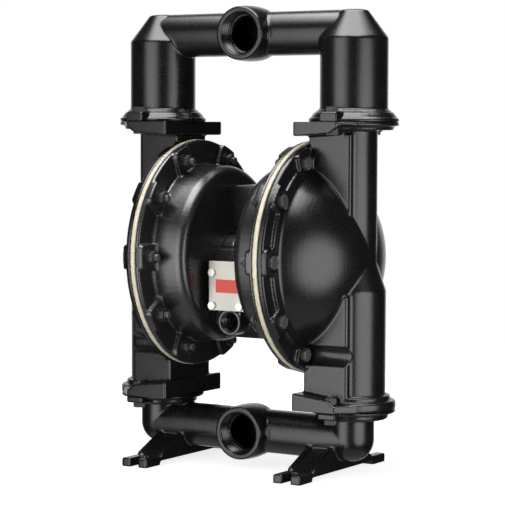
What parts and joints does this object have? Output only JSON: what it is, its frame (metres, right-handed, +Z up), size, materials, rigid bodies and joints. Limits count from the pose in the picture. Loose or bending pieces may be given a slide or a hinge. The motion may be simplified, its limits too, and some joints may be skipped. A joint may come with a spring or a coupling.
{
  "type": "diaphragm pump",
  "caption": "Air-operated double-diaphragm pump with two domed chambers, ball-check towers, outlet and inlet manifolds with threaded ports, slotted feet and a central air valve.",
  "frame": {"origin": "on the floor under the centre of the pump", "axes": "+X along the diaphragm rod towards one chamber, the ports open towards -Y, +Z up"},
  "size_m": [0.4354, 0.32, 0.6398],
  "materials": {
    "cast_black": "black semi-gloss paint on an iron casting",
    "cast_black_air": "black semi-gloss paint on an aluminium casting",
    "fastener_black": "black coated steel",
    "end_plate": "bare satin plate",
    "bright_steel": "bright plated or ground steel",
    "label_red": "plain red enamel, bare of lettering",
    "gasket_sheet": "black sheet gasket",
    "brass": "plain turned brass",
    "muffler_plastic": "black moulded plastic",
    "bearing_plastic": "white acetal",
    "seal_rubber": "black nitrile rubber",
    "cream_elastomer": "cream thermoplastic elastomer"
  },
  "bodies": {
    "casing": {"outlet_manifold": "cast_black", "inlet_manifold": "cast_black", "fluid_cap_right": "cast_black", "fluid_cap_left": "cast_black", "center_body": "cast_black_air", "valve_block": "cast_black_air", "air_cap_right": "cast_black_air", "air_cap_left": "cast_black_air", "joint_bolts_upper": "fastener_black", "joint_nuts_upper": "fastener_black", "joint_bolts_lower": "fastener_black", "joint_nuts_lower": "fastener_black", "body_plug": "fastener_black", "chamber_bolts_right": "fastener_black", "chamber_bolts_left": "fastener_black", "chamber_nuts_right": "fastener_black", "chamber_nuts_left": "fastener_black", "valve_end_cap": "end_plate", "valve_end_screws": "bright_steel", "valve_sleeve": "bright_steel", "pilot_sleeve": "bright_steel", "air_cap_screws_right": "bright_steel", "air_cap_screws_left": "bright_steel", "inlet_seat_right": "bright_steel", "inlet_seat_left": "bright_steel", "outlet_seat_right": "bright_steel", "outlet_seat_left": "bright_steel", "label_plate": "label_red", "valve_block_gasket": "gasket_sheet", "valve_end_gasket": "gasket_sheet", "air_cap_gasket_right": "gasket_sheet", "air_cap_gasket_left": "gasket_sheet", "air_fitting": "brass", "exhaust_muffler": "muffler_plastic", "rod_bush_right": "bearing_plastic", "rod_bush_left": "bearing_plastic", "pilot_guide_right": "bearing_plastic", "pilot_guide_left": "bearing_plastic", "inlet_seat_seals": "seal_rubber", "outlet_seat_seals": "seal_rubber", "rod_seal_right": "seal_rubber", "rod_seal_left": "seal_rubber", "diaphragm_right": "cream_elastomer", "diaphragm_left": "cream_elastomer"},
    "rod_assembly": {"diaphragm_rod": "bright_steel", "diaphragm_hub_right": "cream_elastomer", "diaphragm_hub_left": "cream_elastomer", "inner_washer_right": "bright_steel", "inner_washer_left": "bright_steel", "outer_washer_right": "bright_steel", "outer_washer_left": "bright_steel", "washer_bolt_right": "bright_steel", "washer_bolt_left": "bright_steel"},
    "pilot": {"pilot_rod": "bright_steel"},
    "main_valve": {"valve_spool": "bearing_plastic"},
    "inlet_ball_right": {"inlet_ball_right": "cream_elastomer"},
    "inlet_ball_left": {"inlet_ball_left": "cream_elastomer"},
    "outlet_ball_right": {"outlet_ball_right": "cream_elastomer"},
    "outlet_ball_left": {"outlet_ball_left": "cream_elastomer"}
  },
  "joints": [
    {"name": "rod_slide", "type": "slide", "parent": "casing", "child": "rod_assembly", "axis": [1, 0, 0], "range_m": [-0.02, 0.02]},
    {"name": "pilot_slide", "type": "slide", "parent": "casing", "child": "pilot", "axis": [1, 0, 0], "range_m": [-0.005, 0.005]},
    {"name": "main_valve_slide", "type": "slide", "parent": "casing", "child": "main_valve", "axis": [0, 1, 0], "range_m": [0, 0.007]},
    {"name": "inlet_ball_right_lift", "type": "slide", "parent": "casing", "child": "inlet_ball_right", "axis": [0, 0, 1], "range_m": [0, 0.014]},
    {"name": "inlet_ball_left_lift", "type": "slide", "parent": "casing", "child": "inlet_ball_left", "axis": [0, 0, 1], "range_m": [0, 0.014]},
    {"name": "outlet_ball_right_lift", "type": "slide", "parent": "casing", "child": "outlet_ball_right", "axis": [0, 0, 1], "range_m": [0, 0.014]},
    {"name": "outlet_ball_left_lift", "type": "slide", "parent": "casing", "child": "outlet_ball_left", "axis": [0, 0, 1], "range_m": [0, 0.014]}
  ],
  "couplings": [
    {"joint": "pilot_slide", "follows": "rod_slide", "ratio": 0.25}
  ]
}
